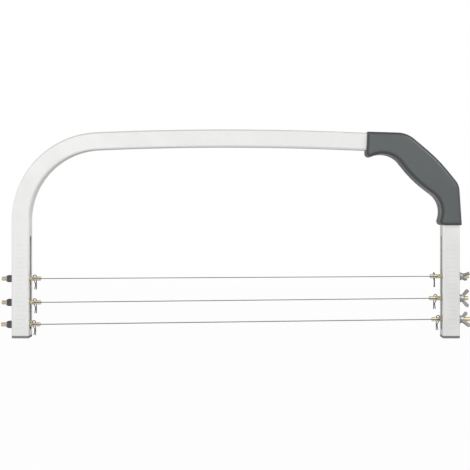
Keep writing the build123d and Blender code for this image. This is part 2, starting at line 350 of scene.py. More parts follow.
@dataclass(frozen=True)
class Finish:
    """The look of one material of the tool."""

    name: str
    slot: str
    texture: Texture
    colour: Colour
    # laid along the edges: rubbed wear and a painted highlight where it is lighter than the base,
    # darker on the tube
    edge_colour: Colour
    film_colour: Colour
    # painted light and shade by facing: the colour of faces turned away from the front and back
    painted_side_light: Colour | None = None
    metallic: float = 0.0
    roughness: float = 0.4
    film_roughness: float = 0.12
    scale: float = 1500.0
    depth: float = 0.00001
    tone_spread: float = 0.06
    edge_radius: float = 0.0005
    edge_share: float = 0.6
    film_share: float = 0.25
    rim_tint: float = 1.0
    gloss: float = 0.5

    def material(self, effects: Effects) -> bpy.types.Material:
        """Builds the material.

        Args:
            effects: The shared node groups.

        Returns:
            The new material.
        """
        made = bpy.data.materials.new(self.name)
        made.diffuse_color = (*self.colour, 1.0)
        graph = Graph.cleared(made)
        surface = graph.node("ShaderNodeGroup", node_tree=effects.surface[self.texture])
        surface.inputs["Scale"].default_value = self.scale
        # Edges take the edge colour: rubbed wear and a painted highlight, darker on the tube.
        wear_and_highlight = graph.node("ShaderNodeGroup", node_tree=effects.wear_and_highlight)
        wear_and_highlight.inputs["Radius"].default_value = self.edge_radius
        film = graph.node("ShaderNodeGroup", node_tree=effects.handling).outputs["Mask"]
        tone = graph.ramp(surface.outputs["Tone"], low=0.25, high=0.75, to_high=self.tone_spread)
        toned = graph.blend(tone, self.colour, self.film_colour)
        filmed = graph.blend(graph.maths("MULTIPLY", film, self.film_share), toned,
                             self.film_colour)
        edge = graph.maths("MULTIPLY", wear_and_highlight.outputs["Mask"], self.edge_share)
        colour = graph.blend(edge, filmed, self.edge_colour)
        # Painted light and shade by facing: faces turned away from the front and back take the side
        # colour.
        if self.painted_side_light is not None:
            turned = graph.node("ShaderNodeGroup", node_tree=effects.side_light_mask).outputs["Mask"]
            colour = graph.blend(turned, colour, self.painted_side_light)
        bump = graph.node("ShaderNodeBump", {"Strength": 1.0, "Distance": self.depth,
                                             "Height": surface.outputs["Height"]})
        shader = graph.node("ShaderNodeBsdfPrincipled", {
            "Base Color": colour,
            "Roughness": graph.maths("MULTIPLY_ADD", film, self.film_roughness, self.roughness),
            "Metallic": self.metallic,
            "Normal": bump.outputs["Normal"],
            "Specular IOR Level": self.gloss,
            "Specular Tint": (self.rim_tint, self.rim_tint, self.rim_tint, 1.0),
        })
        graph.node("ShaderNodeOutputMaterial", {"Surface": shader.outputs[0]})
        return made


# Edge colours lighter than the base paint a highlight along the edges, besides rubbed wear.
FINISHES = (
    # The tube's darker edge colour draws its engraved marks, slot rims and sharp edges darker.
    Finish("Bright tube", "tube_metal", Texture.SATIN,
           (0.90, 0.90, 0.887), (0.56, 0.56, 0.55), (0.84, 0.84, 0.82),
           metallic=0.9, roughness=0.32, scale=2600.0, depth=0.000003, tone_spread=0.15,
           edge_radius=0.0003, rim_tint=0.45),
    # The grip's last colour is painted shade on its rims and sides, laid by facing.
    Finish("Grip plastic", "grip_plastic", Texture.MOULDED,
           (0.131, 0.143, 0.144), (0.17, 0.18, 0.18), (0.147, 0.160, 0.161), (0.055, 0.060, 0.061),
           roughness=0.36, scale=1900.0, depth=0.00004, edge_share=0.1, film_share=0.2),
    Finish("Plug plastic", "plug_plastic", Texture.MOULDED,
           (0.26, 0.26, 0.26), (0.34, 0.34, 0.34), (0.29, 0.29, 0.29),
           roughness=0.55, scale=2400.0, depth=0.00004, edge_share=0.3),
    Finish("Screw steel", "screw_steel", Texture.CAST,
           (0.40, 0.40, 0.41), (0.70, 0.70, 0.70), (0.30, 0.30, 0.31),
           metallic=1.0, roughness=0.32, scale=2200.0, rim_tint=0.6),
    Finish("Insert brass", "insert_brass", Texture.DRAWN,
           (0.60, 0.50, 0.27), (0.80, 0.70, 0.45), (0.50, 0.40, 0.20),
           metallic=1.0, roughness=0.3, scale=3000.0),
    Finish("Pin brass", "pin_brass", Texture.DRAWN,
           (0.90, 0.84, 0.64), (0.95, 0.91, 0.76), (0.62, 0.48, 0.31),
           metallic=1.0, roughness=0.3, scale=3000.0, edge_radius=0.0002, film_share=0.35,
           rim_tint=0.5),
    # The blade's last colour paints its flat faces lighter than its toothed edge: painted light by
    # facing.
    Finish("Blade steel", "blade_steel", Texture.DRAWN,
           (0.06, 0.06, 0.065), (0.20, 0.20, 0.21), (0.04, 0.04, 0.045), (0.27, 0.27, 0.275),
           metallic=1.0, roughness=0.15, film_roughness=0.04, scale=4000.0, edge_radius=0.0002,
           edge_share=0.3),
    Finish("Clip wire", "clip_wire", Texture.SATIN,
           (0.08, 0.08, 0.085), (0.20, 0.20, 0.21), (0.06, 0.06, 0.06),
           metallic=1.0, roughness=0.3, scale=4000.0, edge_radius=0.0002, rim_tint=0.4),
    Finish("Washer zinc", "washer_zinc", Texture.SATIN,
           (0.34, 0.34, 0.34), (0.60, 0.60, 0.60), (0.26, 0.26, 0.26),
           metallic=1.0, roughness=0.36, scale=2600.0, edge_radius=0.0002, rim_tint=0.5),
    Finish("Nut steel", "nut_steel", Texture.SATIN,
           (0.15, 0.15, 0.155), (0.55, 0.55, 0.56), (0.06, 0.06, 0.065),
           metallic=1.0, roughness=0.24, scale=2600.0, edge_radius=0.0003, rim_tint=0.4),
    Finish("Ring nylon", "ring_nylon", Texture.MOULDED,
           (0.74, 0.74, 0.73), (0.92, 0.92, 0.91), (0.78, 0.78, 0.76),
           roughness=0.42, scale=5000.0),
    Finish("Wing zinc", "wing_zinc", Texture.CAST,
           (0.38, 0.38, 0.365), (0.60, 0.60, 0.58), (0.22, 0.22, 0.21),
           metallic=1.0, roughness=0.5, scale=1600.0, depth=0.00005, edge_radius=0.0004,
           rim_tint=0.2),
)


class Paintbox:
    """Holds the finished materials by the record's slot."""

    def __init__(self) -> None:
        """Builds the shared effects and a material for every finish."""
        effects = Effects()
        self.by_slot = {finish.slot: finish.material(effects) for finish in FINISHES}

    def dress(self, piece: Piece, slot: str) -> None:
        """Gives a piece the finish of one of the record's slots all over."""
        piece.data.materials.clear()
        piece.data.materials.append(self.by_slot[slot])

    def dress_nodes(self) -> None:
        """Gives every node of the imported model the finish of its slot."""
        for entry in frame["record"]["subparts"]:
            self.dress(frame["nodes"][entry["node"]], entry["material_slot"])
            log.info("dressed %s as %s", entry["node"], entry["material_slot"])


class Element(Enum):
    """What a selection in edit mode is made of."""

    CORNER = "VERT"
    EDGE = "EDGE"
    FACE = "FACE"


class Joining(Enum):
    """How a second solid is combined with a piece."""

    CUT = "DIFFERENCE"
    ADD = "UNION"
    COMMON = "INTERSECT"


def only(piece: Piece) -> None:
    """Selects one piece and makes it active."""
    bpy.ops.object.select_all(action="DESELECT")
    piece.select_set(True)
    bpy.context.view_layer.objects.active = piece


def applied(piece: Piece) -> Piece:
    """Takes the active piece's place, turn and scale into its mesh, and gives it back."""
    bpy.ops.object.transform_apply(location=True, rotation=True, scale=True)
    return piece


@contextmanager
def editing(piece: Piece) -> Iterator[None]:
    """Opens a piece in edit mode with everything selected, and closes it again.

    Args:
        piece: The mesh object to work on.
    """
    only(piece)
    bpy.ops.object.mode_set(mode="EDIT")
    bpy.ops.mesh.select_mode(type="VERT")
    bpy.ops.mesh.select_all(action="SELECT")
    yield
    bpy.ops.object.mode_set(mode="OBJECT")


def lies_at(element: object, axis: int, place: float, within: float = NEAR) -> bool:
    """Tells whether every corner of an edge or face lies at one place along an axis."""
    return all(abs(corner.co[axis] - place) < within for corner in element.verts)


def pick(kind: Element, wanted: Callable[[object], bool]) -> int:
    """Selects the elements of the open piece that pass a test.

    Args:
        kind: Whether corners, edges or faces are selected.
        wanted: Tells whether an element belongs to the selection.

    Returns:
        How many elements were selected.
    """
    bpy.ops.mesh.select_mode(type=kind.value)
    bpy.ops.mesh.select_all(action="DESELECT")
    data = bpy.context.edit_object.data
    mesh = bmesh.from_edit_mesh(data)
    elements = {Element.CORNER: mesh.verts, Element.EDGE: mesh.edges, Element.FACE: mesh.faces}
    found = [element for element in elements[kind] if wanted(element)]
    for element in found:
        element.select_set(True)
    mesh.select_flush_mode()
    bmesh.update_edit_mesh(data)
    return len(found)


def extruded(step: Sequence[float]) -> None:
    """Extrudes what is selected in the open piece by a step."""
    bpy.ops.mesh.extrude_region_move(TRANSFORM_OT_translate={"value": step})


def modify(piece: Piece, kind: str, **settings: object) -> None:
    """Adds a modifier to a piece and applies it.

    Args:
        piece: The mesh object.
        kind: The modifier type's identifier.
        **settings: The modifier's properties.
    """
    only(piece)
    added = piece.modifiers.new(kind.title(), kind)
    for key, value in settings.items():
        setattr(added, key, value)
    bpy.ops.object.modifier_apply(modifier=added.name)


def combine(piece: Piece, tool: Piece, joining: Joining = Joining.CUT) -> None:
    """Combines a piece with a second solid, which is used up.

    Args:
        piece: The solid that stays.
        tool: The solid that is used up.
        joining: Whether it is cut away, added or kept in common.
    """
    modify(piece, "BOOLEAN", object=tool, operation=joining.value, solver="EXACT")
    bpy.data.objects.remove(tool, do_unlink=True)


def softened(piece: Piece, cell: float, smoothings: int) -> None:
    """Rebuilds a piece from small even cells and smooths it.

    Args:
        piece: The mesh object.
        cell: The cells' size.
        smoothings: How many times it is smoothed.
    """
    modify(piece, "REMESH", mode="VOXEL", voxel_size=cell, use_smooth_shade=True)
    modify(piece, "SMOOTH", factor=0.5, iterations=smoothings)


def placed(piece: Piece, offset: Sequence[float] = (0, 0, 0), turn: float = 0.0,
           axis: str = "Z") -> Piece:
    """Turns a piece about an axis through the origin and then moves it, both in its mesh.

    Args:
        piece: The mesh object.
        offset: How far it moves.
        turn: The angle in degrees.
        axis: The axis that it turns about.

    Returns:
        The same piece.
    """
    turned = Matrix.Rotation(math.radians(turn), 4, axis)
    piece.matrix_world = Matrix.Translation(offset) @ turned
    only(piece)
    return applied(piece)


def copied(piece: Piece, name: str) -> Piece:
    """Copies a piece with a mesh of its own.

    Args:
        piece: The piece that is copied.
        name: The new piece's name.

    Returns:
        The new piece.
    """
    twin = piece.copy()
    twin.data = piece.data.copy()
    twin.name = twin.data.name = name
    bpy.context.scene.collection.objects.link(twin)
    return twin


def tidied(piece: Piece) -> Piece:
    """Merges doubled corners and turns all faces outwards.

    Args:
        piece: The mesh object.

    Returns:
        The same piece.
    """
    with editing(piece):
        bpy.ops.mesh.remove_doubles(threshold=WELD)
        bpy.ops.mesh.dissolve_degenerate(threshold=WELD)
        bpy.ops.mesh.select_all(action="SELECT")
        bpy.ops.mesh.normals_make_consistent(inside=False)
    return piece


def started(primitive: Callable, name: str, stretch: Sequence[float] = (1.0, 1.0, 1.0),
            middle: Sequence[float] = (0.0, 0.0, 0.0), **settings: object) -> Piece:
    """Adds a primitive at its size and place, with nothing else selected.

    Args:
        primitive: The operator that adds it.
        name: The new piece's name.
        stretch: How much longer it is made along each of its own axes.
        middle: Its middle.
        **settings: The operator's settings.

    Returns:
        The new piece.
    """
    bpy.ops.object.select_all(action="DESELECT")
    primitive(**settings)
    piece = bpy.context.object
    piece.name = piece.data.name = name
    piece.scale = stretch
    piece.location = middle
    return applied(piece)


def block(size: Sequence[float], middle: Sequence[float]) -> Piece:
    """Makes a plain block that other pieces are cut with, from its size and middle."""
    return started(bpy.ops.mesh.primitive_cube_add, "cutting_block", size, middle, size=1.0)


def rod(diameter: float, length: float, middle: Sequence[float], axis: str = "X",
        sides: int = ROUND_SIDES) -> Piece:
    """Makes a round or many-sided rod.

    Args:
        diameter: Its diameter over the corners.
        length: Its length.
        middle: Its middle.
        axis: The direction that it runs in.
        sides: How many sides it has.

    Returns:
        The rod.
    """
    quarter = math.radians(90.0)
    turn = {"X": (0.0, quarter, 0.0), "Y": (quarter, 0.0, 0.0), "Z": (0.0, 0.0, 0.0)}[axis]
    return started(bpy.ops.mesh.primitive_cylinder_add, "rod", middle=middle, vertices=sides,
                   radius=diameter / 2, depth=length, rotation=turn)


def traced(name: str, points: Sequence[Sequence[float]], filled: bool = False) -> Piece:
    """Draws a line by extruding one corner from point to point.

    Args:
        name: The new piece's name.
        points: The places that the line goes through.
        filled: Whether the line is closed and filled.

    Returns:
        The new piece.
    """
    piece = started(bpy.ops.mesh.primitive_plane_add, name, size=1.0)
    with editing(piece):
        bpy.ops.mesh.merge(type="CENTER")
        bpy.ops.transform.translate(value=points[0])
        for here, there in zip(points, points[1:]):
            extruded(Vector(there) - Vector(here))
        if filled:
            bpy.ops.mesh.select_all(action="SELECT")
            bpy.ops.mesh.edge_face_add()
    return piece


def lathed(name: str, profile: Profile, sides: int = ROUND_SIDES) -> Piece:
    """Turns a profile about the X axis.

    Args:
        name: The new piece's name.
        profile: Places along X with their distances from the axis. A ring ends where it starts.
        sides: How many sides the round has.

    Returns:
        The closed solid.
    """
    piece = traced(name, [(along, 0.0, out) for along, out in profile])
    with editing(piece):
        bpy.ops.mesh.spin(steps=sides, angle=2 * math.pi, center=(0, 0, 0), axis=(1, 0, 0))
    return tidied(piece)


def bend_of(way: Vector, next_way: Vector, corner: Vector,
            radius: float) -> tuple[float, Vector, Vector, Vector]:
    """Works out the bend that rounds a corner.

    Args:
        way: The direction into the corner, of length 1.
        next_way: The direction out of it, of length 1.
        corner: The corner.
        radius: The bend's radius.

    Returns:
        Its turn in radians, its start, its centre and its axis.
    """
    turn = way.angle(next_way)
    start = corner - way * radius * math.tan(turn / 2)
    axis = way.cross(next_way).normalized()
    return turn, start, start + axis.cross(way) * radius, axis


def rounded(outline: Sequence[tuple[Vector, float]], degrees: float) -> list[Vector]:
    """Rounds the corners of a closed outline.

    Args:
        outline: The corners in the plane of the bow, each with its radius, 0 where it stays sharp.
        degrees: How much of a bend one step takes.

    Returns:
        The points of the rounded outline.
    """
    points = []
    for index, (corner, radius) in enumerate(outline):
        if not radius:
            points.append(corner)
            continue
        way_in = (corner - outline[index - 1][0]).normalized()
        way_out = (outline[(index + 1) % len(outline)][0] - corner).normalized()
        turn, start, centre, axis = bend_of(way_in, way_out, corner, radius)
        steps = max(FEWEST_STEPS, round(math.degrees(turn) / degrees))
        for step in range(steps + 1):
            spoke = Matrix.Rotation(turn * step / steps, 3, axis) @ (start - centre)
            points.append(centre + spoke)
    return points


def drawn_along(corners: Sequence[Vector], radii: Sequence[float], degrees: float = 3.0) -> None:
    """Draws the selected section of the open piece along a path, by runs and spins.

    Args:
        corners: The path's ends and corners, in the plane of the bow.
        radii: The radius of the bend at each inner corner.
        degrees: How much of a bend one step takes at most.
    """
    place = corners[0]
    way = (corners[1] - corners[0]).normalized()
    for corner, after, radius in zip(corners[1:], corners[2:], radii):
        next_way = (after - corner).normalized()
        turn, start, centre, axis = bend_of(way, next_way, corner, radius)
        extruded(start - place)
        steps = max(FEWEST_STEPS, round(math.degrees(turn) / degrees),
                    round(turn * radius / LONGEST_STEP))
        bpy.ops.mesh.spin(steps=steps, angle=-turn, center=centre, axis=axis)
        place = corner + next_way * radius * math.tan(turn / 2)
        way = next_way
    extruded(corners[-1] - place)


def bevelled(piece: Piece, width: float, segments: int, wanted: Callable[[object], bool],
             profile: float = 0.5) -> None:
    """Rounds the edges of a piece that pass a test.

    Args:
        piece: The mesh object.
        width: The rounding's width.
        segments: How many faces it has across.
        wanted: Tells whether an edge is rounded.
        profile: The rounding's shape, from 0.25 for a flat slope to 0.5 for a round.
    """
    with editing(piece):
        if pick(Element.EDGE, wanted):
            bpy.ops.mesh.bevel(offset=width, segments=segments, affect="EDGES", profile=profile,
                               clamp_overlap=True)


def section(name: str, width: float, depth: float, corner: float, place: Vector) -> Piece:
    """Makes the flat rounded section that the tube is drawn from.

    Args:
        name: The new piece's name.
        width: Its length along X.
        depth: Its length along Y.
        corner: The radius of its corners.
        place: Its middle.

    Returns:
        The section, facing along Z.
    """
    piece = started(bpy.ops.mesh.primitive_plane_add, name, (width, depth, 1.0), place, size=1.0)
    with editing(piece):
        bpy.ops.mesh.bevel(offset=corner, segments=6, affect="VERTICES")
    return piece


def crossing(start: Vector, way: Vector, other_start: Vector, other_way: Vector) -> Vector:
    """Gives the point where two straight lines of the bow's plane meet.

    Args:
        start: A point on the first line.
        way: The first line's direction.
        other_start: A point on the second line.
        other_way: The second line's direction.

    Returns:
        The point.
    """
    gap = other_start - start
    turn = way.x * other_way.z - way.z * other_way.x
    return start + way * ((gap.x * other_way.z - gap.z * other_way.x) / turn)


def nearest(point: Vector, start: Vector, end: Vector) -> Vector:
    """Gives the point of a straight run that is nearest to another point.

    Args:
        point: The other point.
        start: The run's start.
        end: The run's end.

    Returns:
        The nearest point of the run.
    """
    way = end - start
    share = min(1.0, max(0.0, (point - start).dot(way) / way.length_squared))
    return start + way * share


@dataclass
class Workshop:
    """Finishes each piece: its skin, its body, its slot and the solids that it stands for."""

    paints: Paintbox
    crease: float = 35.0
    flat_weight: int = 90

    def finish(self, piece: Piece, body: str, slot: str, nodes: Sequence[str]) -> Piece:
        """Brings a piece from millimetres to metres and hands it to the frame.

        Args:
            piece: The modelled piece, in millimetres.
            body: The body that it moves with.
            slot: The record's material slot.
            nodes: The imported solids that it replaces.

        Returns:
            The finished piece.
        """
        only(tidied(piece))
        bpy.ops.object.shade_smooth_by_angle(angle=math.radians(self.crease))
        modify(piece, "WEIGHTED_NORMAL", keep_sharp=True, weight=self.flat_weight)
        piece.scale = (MM, MM, MM)
        applied(piece)
        self.paints.dress(piece, slot)
        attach(piece, body)
        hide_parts(*nodes)
        log.info("made %s for %s on %s in %s", piece.name, ", ".join(nodes), body, slot)
        return piece


@dataclass
class BowLine:
    """The centre line of the tube in the plane of the bow, in millimetres."""

    width: float = 516.4
    height: float = 240.6
    tube_width: float = 20.0
    tube_depth: float = 15.0
    foot: float = 3.0
    left_bend: float = 92.0
    slope_degrees: float = 2.45
    arch_share: float = 0.98
    crown_offset: float = -12.0
    corner_cut: float = 60.0
    grip_bend: float = 59.4
    mouth_run_top: float = 37.6
    mouth_run_leg: float = 34.9
    screw_inset: float = 14.0

    def __post_init__(self) -> None:
        """Works out the corners, the runs and the bends."""
        leg, cut = self.leg_x, self.corner_cut
        angle = math.radians(self.slope_degrees)
        slope = math.tan(angle)
        left_run = self.left_bend * math.tan(math.radians(90 - self.slope_degrees) / 2)
        grip_run = self.grip_bend * math.tan(math.radians(45 - self.slope_degrees) / 2)
        room = min(leg + self.crown_offset - left_run, leg - self.crown_offset - cut - grip_run)
        arch = self.arch_share * room / slope
        lift = arch * (1 / math.cos(angle) - 1)
        peak = Vector((self.crown_offset, 0, self.height - self.tube_width / 2 + lift))
        left = Vector((-leg, 0, peak.z - (peak.x + leg) * slope))
        self.top_corner = Vector((leg - cut, 0, peak.z - (leg - cut - peak.x) * slope))
        self.side_corner = Vector((leg, 0, self.top_corner.z - cut))
        self.corners = [Vector((-leg, 0, self.foot)), left, peak, self.top_corner,
                        self.side_corner, Vector((leg, 0, self.foot))]
        self.bends = [self.left_bend, arch, self.grip_bend, self.grip_bend]
        self.top_way = (self.top_corner - peak).normalized()
        self.cut_way = (self.side_corner - self.top_corner).normalized()
        self.leg_way = Vector((0, 0, -1))
        self.top_mouth = self.top_corner - self.top_way * self.mouth_run_top
        self.leg_mouth = self.side_corner + self.leg_way * self.mouth_run_leg

    @property
    def leg_outer(self) -> float:
        """Gives the distance of a leg's outer face from the middle of the bow."""
        return self.width / 2

    @property
    def leg_x(self) -> float:
        """Gives the distance of a leg's middle from the middle of the bow."""
        return self.leg_outer - self.tube_width / 2

    def fastenings(self) -> list[Vector]:
        """Lists the three places where the grip is screwed to the tube, from the leg up."""
        return [self.leg_mouth - self.leg_way * self.screw_inset,
                (self.top_corner + self.side_corner) / 2,
                self.top_mouth + self.top_way * self.screw_inset]


@dataclass
class Bow:
    """The bent tube with its slots and graduations, and the plugs in its feet."""

    line: BowLine
    wall: float = 1.5
    corner: float = 2.0
    bend_step: float = 1.8
    slot_bottom: float = 9.2
    slot_top: float = 117.9
    slot_width: float = 5.3
    slot_end_steps: int = 10
    slot_burr: float = 0.3
    first_mark: float = 12.0
    mark_pitch: float = 5.0
    mark_count: int = 20
    mark_lengths: tuple[float, float] = (10.5, 6.5)
    mark_width: float = 0.45
    mark_depth: float = 0.2
    bolt_hole: float = 4.3
    plug_insert: float = 5.5
    plug_wall: float = 1.6
    plug_clearance: float = 0.05
    plug_edge: float = 0.8

    def build(self, shop: Workshop) -> None:
        """Makes the tube and both plugs.

        Args:
            shop: The workshop that finishes them.
        """
        shop.finish(self._tube(), "frame", "tube_metal", ["bow_frame"])
        for name, side in (("left", -1), ("right", 1)):
            plug = placed(self._plug(f"{name}_foot_plug"), (side * self.line.leg_x, 0, 0))
            shop.finish(plug, "frame", "plug_plastic", [f"{name}_end_plug"])

    def _tube(self) -> Piece:
        """Draws the tube along the bow, hollows it and cuts its slots, marks and holes.

        Returns:
            The tube.
        """
        line = self.line
        tube = section("bent_tube", line.tube_width, line.tube_depth, self.corner, line.corners[0])
        with editing(tube):
            drawn_along(line.corners, line.bends, self.bend_step)
        with editing(tidied(tube)):
            pick(Element.FACE, lambda face: lies_at(face, 2, line.foot))
            bpy.ops.mesh.delete(type="FACE")
        modify(tube, "SOLIDIFY", thickness=self.wall, offset=-1.0, use_even_offset=True)
        for side in (-1, 1):
            self._cut_slot(tube, side * line.leg_x)
            for first in (0, 1):
                self._cut_marks(tube, side * line.leg_x, first)
        for point in line.fastenings():
            combine(tube, rod(self.bolt_hole, 2 * line.tube_depth, point, axis="Y"))
        return tube

    def _cut_slot(self, tube: Piece, middle_x: float) -> None:
        """Cuts the long slot through both side walls of a leg and eases its outer edges.

        Args:
            tube: The tube.
            middle_x: The place of the leg's middle.
        """
        half = self.slot_width / 2
        reach = self.line.tube_width
        cutter = started(
            bpy.ops.mesh.primitive_plane_add, "slot_cutter",
            (self.slot_top - self.slot_bottom, self.slot_width, 1.0),
            (middle_x - reach, 0.0, (self.slot_bottom + self.slot_top) / 2),
            size=1.0, rotation=(0.0, math.radians(90.0), 0.0))
        with editing(cutter):
            bpy.ops.mesh.bevel(offset=half * FULL_ROUND, segments=self.slot_end_steps,
                               affect="VERTICES")
            extruded((2 * reach, 0.0, 0.0))
        combine(tube, tidied(cutter))
        faces = [middle_x - reach / 2, middle_x + reach / 2]

        def on_rim(edge: bmesh.types.BMEdge) -> bool:
            """Tells whether an edge runs round the slot on an outer face of the leg."""
            return all(
                min(abs(corner.co.x - face) for face in faces) < NEAR
                and abs(corner.co.y) < half + NEAR
                and self.slot_bottom - NEAR < corner.co.z < self.slot_top + NEAR
                for corner in edge.verts
            )

        bevelled(tube, self.slot_burr, segments=2, wanted=on_rim)

    def _cut_marks(self, tube: Piece, middle_x: float, first: int) -> None:
        """Engraves every second graduation on the front of a leg.

        Args:
            tube: The tube.
            middle_x: The place of the leg's middle.
            first: 0 for the long marks, 1 for the short ones.
        """
        size = (self.mark_lengths[first], 2 * self.mark_depth, self.mark_width)
        height = self.first_mark + first * self.mark_pitch
        cutter = block(size, (middle_x, -self.line.tube_depth / 2, height))
        modify(cutter, "ARRAY", count=self.mark_count // 2, use_relative_offset=False,
               use_constant_offset=True, constant_offset_displace=(0.0, 0.0, 2 * self.mark_pitch))
        combine(tube, cutter)

    def _plug(self, name: str) -> Piece:
        """Makes a plug at the origin: a flange under the tube and a hollow insert in it.

        Args:
            name: The new piece's name.

        Returns:
            The plug.
        """
        line = self.line
        plug = section(name, line.tube_width, line.tube_depth, self.corner, Vector())
        with editing(plug):
            extruded((0, 0, line.foot))
            bpy.ops.mesh.inset(thickness=self.wall + self.plug_clearance)
            extruded((0, 0, self.plug_insert))
            bpy.ops.mesh.inset(thickness=self.plug_wall)
            extruded((0, 0, -self.plug_insert))
        bevelled(tidied(plug), self.plug_edge, segments=4,
                 wanted=lambda edge: lies_at(edge, 2, 0.0, WELD))
        return plug


@dataclass
class Grip:
    """The two moulded shells across the corner of the bow, and their screws."""

    line: BowLine
    depth: float = 27.0
    top_mouth_cover: float = 1.1
    leg_mouth_cover: float = 1.4
    top_lip_cover: float = 10.4
    leg_lip_cover: float = 4.9
    top_knuckle_cover: float = 1.7
    leg_knuckle_dip: float = 1.7
    top_finger_dip: float = 3.4
    leg_finger_dip: float = 1.4
    top_knuckle_radius: float = 31.0
    leg_knuckle_radius: float = 19.9
    top_finger_radius: float = 27.2
    leg_finger_radius: float = 25.5
    lip_radius: float = 4.6
    back_reach: float = 14.1
    palm_swell: float = 4.0
    palm_share: float = 0.56
    belly_reach: float = 12.4
    finger_swell: float = 6.3
    swell_run_share: float = 0.45
    outline_step: float = 4.0
    channel_clearance: float = 0.2
    channel_corner: float = 2.0
    rim: float = 3.8
    rim_profile: float = 0.34
    cell: float = 0.6
    smoothings: int = 3
    seam: float = 0.3
    crown_drop: float = 1.0
    crown_run: float = 18.0
    screw_diameter: float = 4.0
    screw_clearance: float = 0.15
    head_diameter: float = 7.5
    head_height: float = 2.6
    head_edge: float = 0.6
    counterbore_depth: float = 4.0
    counterbore_clearance: float = 0.35
    socket_width: float = 2.5
    socket_depth: float = 1.6
    insert_length: float = 3.8
    insert_bore: float = 6.14

    def build(self, shop: Workshop) -> None:
        """Makes both shells and the three screws.

        Args:
            shop: The workshop that finishes them.
        """
        front = self._half("front_grip_shell", -1)
        back = self._half("back_grip_shell", 1)
        insert_end = self.line.tube_depth / 2 + self.channel_clearance + self.insert_length
        shank_bore = self.screw_diameter + 2 * self.screw_clearance
        head_bore = self.head_diameter + 2 * self.counterbore_clearance
        for point in self.line.fastenings():
            outside = point + Vector((0, self.depth / 2, 0))
            combine(front, rod(self.insert_bore, 2 * insert_end, point, axis="Y"))
            combine(back, rod(shank_bore, 2 * self.depth, point, axis="Y"))
            combine(back, rod(head_bore, 2 * self.counterbore_depth, outside, axis="Y"))
        shop.finish(front, "frame", "grip_plastic", ["handle_front_shell"])
        shop.finish(back, "frame", "grip_plastic", ["handle_back_shell"])
        screw = self._screw(insert_end)
        for level, point in zip(LEVELS, self.line.fastenings()):
            twin = placed(copied(screw, f"{level}_grip_screw"), point)
            shop.finish(twin, "frame", "screw_steel", [f"{level}_handle_screw"])
        bpy.data.objects.remove(screw)

    def _outline(self) -> list[Vector]:
        """Works out the grip's outline as seen from the front.

        Returns:
            The points of the outline.
        """
        line = self.line
        half = line.tube_width / 2
        ways = {"top": line.top_way, "cut": line.cut_way, "leg": line.leg_way}
        out = {key: Vector((-way.z, 0, way.x)) for key, way in ways.items()}

        def meeting(corner: Vector, run: str, reach: float, cut_reach: float) -> Vector:
            """Gives the point where a side beside one run meets a side beside the slanted run."""
            return crossing(corner + out[run] * reach, ways[run],
                            line.top_corner + out["cut"] * cut_reach, line.cut_way)

        over, under = self.back_reach, -self.belly_reach
        knuckle_top = meeting(line.top_corner, "top", half + self.top_knuckle_cover, over)
        knuckle_leg = meeting(line.side_corner, "leg", half - self.leg_knuckle_dip, over)
        finger_top = meeting(line.top_corner, "top", self.top_finger_dip - half, under)
        finger_leg = meeting(line.side_corner, "leg", self.leg_finger_dip - half, under)
        back = knuckle_top.lerp(knuckle_leg, self.palm_share) + out["cut"] * self.palm_swell
        belly = (finger_top + finger_leg) / 2 - out["cut"] * self.finger_swell
        return rounded([
            (line.top_mouth + out["top"] * (half + self.top_mouth_cover), 0.0),
            (knuckle_top, self.top_knuckle_radius),
            (back, self._easing(knuckle_top, back, knuckle_leg)),
            (knuckle_leg, self.leg_knuckle_radius),
            (line.leg_mouth + out["leg"] * (half + self.leg_mouth_cover), 0.0),
            (line.leg_mouth - out["leg"] * (half + self.leg_lip_cover), self.lip_radius),
            (finger_leg, self.leg_finger_radius),
            (belly, self._easing(finger_leg, belly, finger_top)),
            (finger_top, self.top_finger_radius),
            (line.top_mouth - out["top"] * (half + self.top_lip_cover), self.lip_radius),
        ], self.outline_step)

    def _easing(self, before: Vector, corner: Vector, after: Vector) -> float:
        """Gives the radius that rounds a shallow corner over its share of the shorter side."""
        run = self.swell_run_share * min((before - corner).length, (after - corner).length)
        return run * math.tan((before - corner).angle(after - corner) / 2)

    def _half(self, name: str, side: int) -> Piece:
        """Makes one shell with its round rim, its channel for the tube and an eased seam.

        Args:
            name: The shell's name.
            side: -1 for the front shell, 1 for the back one.

        Returns:
            The shell.
        """
        line = self.line
        face_y = side * self.depth / 2
        shell = traced(name, self._outline(), filled=True)
        with editing(shell):
            extruded((0, face_y, 0))
        bevelled(tidied(shell), self.rim, segments=8, profile=self.rim_profile,
                 wanted=lambda edge: lies_at(edge, 1, face_y, WELD))
        softened(shell, self.cell, self.smoothings)
        self._crown(shell)
        room = 2 * self.channel_clearance
        start = line.top_mouth - line.top_way * line.tube_width
        end = line.leg_mouth + line.leg_way * line.tube_width
        channel = section("channel_cutter", line.tube_width + room, line.tube_depth + room,
                          self.channel_corner, end)
        with editing(channel):
            drawn_along([end, line.side_corner, line.top_corner, start], [line.grip_bend] * 2)
        combine(shell, tidied(channel))
        return shell

    def _crown(self, shell: Piece) -> None:
        """Lets a shell's wide face fall away from the tube's middle line, and flattens the seam.

        Args:
            shell: The shell, as fine cells of even size.
        """
        line = self.line
        knots = [line.top_mouth, line.top_corner, line.side_corner, line.leg_mouth]
        slope = self.crown_drop / (self.depth / 2)
        for corner in shell.data.vertices:
            flat = Vector((corner.co.x, 0, corner.co.z))
            distance = min((flat - nearest(flat, *run)).length for run in zip(knots, knots[1:]))
            corner.co.y *= 1 - slope * (distance / self.crown_run) ** 2
            if abs(corner.co.y) < self.seam:
                corner.co.y = 0.0

